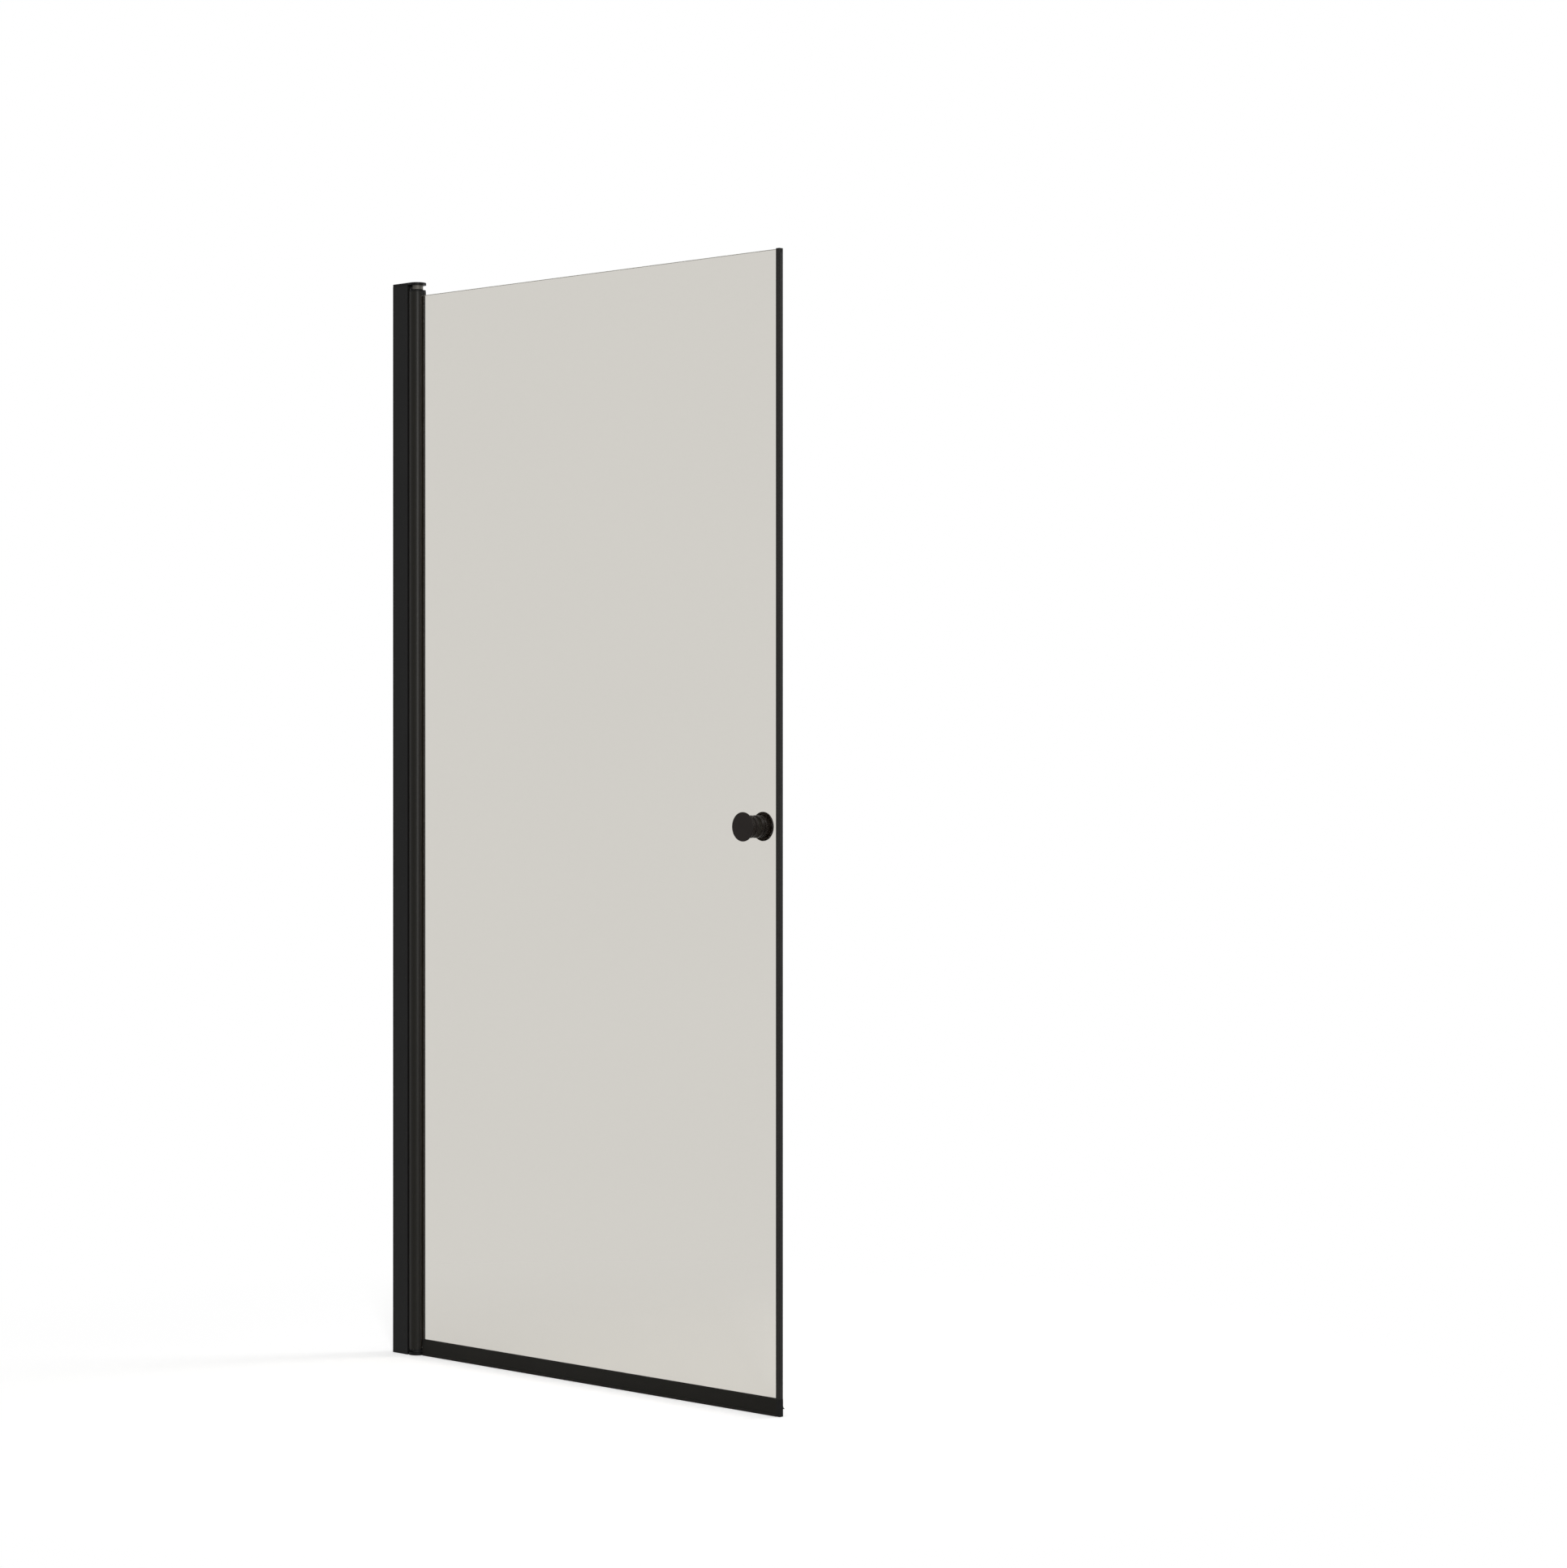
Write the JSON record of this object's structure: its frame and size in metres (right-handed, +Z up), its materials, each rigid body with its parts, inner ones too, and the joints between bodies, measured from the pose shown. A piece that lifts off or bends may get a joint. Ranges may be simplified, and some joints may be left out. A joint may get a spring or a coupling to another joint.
{
  "type": "shower door",
  "caption": "Tall hinged shower door: tinted clear glass in a round black hinge profile with wall channel, bottom rail, magnetic strike strip and turned pull knobs.",
  "frame": {"origin": "middle of the wall profile's lower end, on the face that meets the wall", "axes": "+X across the doorway from the wall to the strike edge, +Y from outside to inside the shower, +Z up"},
  "size_m": [1, 0.0528, 2],
  "materials": {
    "powder_coated_aluminium": "matte black powder coat",
    "black_plastic": "fine moulded texture, black",
    "black_rubber": "soft black seal",
    "tinted_glass": "clear toughened glass with a warm grey tint",
    "stainless_steel": "turned, bright",
    "white_acetal": "natural white",
    "black_acetal": "smooth black bearing plastic",
    "clear_plastic": "clear, soft",
    "black_knob": "satin black coat on turned metal",
    "magnet_rubber": "satin black"
  },
  "bodies": {
    "wall_frame": {"wall_profile": "powder_coated_aluminium", "adjustment_screws": "stainless_steel", "clamp_nuts": "stainless_steel", "screw_covers": "black_plastic"},
    "jamb": {"jamb_profile": "powder_coated_aluminium", "jamb_seal_front": "black_rubber", "jamb_seal_rear": "black_rubber", "top_cap": "black_plastic", "top_cap_screws": "stainless_steel", "bottom_foot": "black_plastic", "foot_screws": "stainless_steel", "upper_pivot_pin": "stainless_steel", "lower_pivot_pin": "stainless_steel", "thrust_washer": "black_acetal"},
    "door_leaf": {"hinge_tube": "powder_coated_aluminium", "tube_plug_top": "black_plastic", "tube_plug_bottom": "black_plastic", "pivot_bush_top": "white_acetal", "pivot_bush_bottom": "white_acetal", "glazing_gasket_front": "black_rubber", "glazing_gasket_rear": "black_rubber", "glass_panel": "tinted_glass", "bottom_rail": "powder_coated_aluminium", "rail_cap_hinge": "black_plastic", "rail_cap_strike": "black_plastic", "setting_blocks": "black_plastic", "wiper_seal": "black_rubber", "drip_fin": "black_rubber", "strike_profile": "powder_coated_aluminium", "strike_plug": "black_plastic", "magnetic_strip": "magnet_rubber", "knob_outer": "black_knob", "knob_inner": "black_knob", "knob_stud": "stainless_steel", "knob_washers": "black_plastic", "glass_sleeve": "clear_plastic", "knob_grub_screw": "stainless_steel"}
  },
  "joints": [
    {"name": "adjust_slide", "type": "slide", "parent": "wall_frame", "child": "jamb", "axis": [1, 0, 0], "range_m": [0, 0.012]},
    {"name": "door_swing", "type": "hinge", "parent": "jamb", "child": "door_leaf", "pos_m": [0.05194, 0, 0], "axis": [0, 0, 1], "range_deg": [-90, 90]}
  ]
}
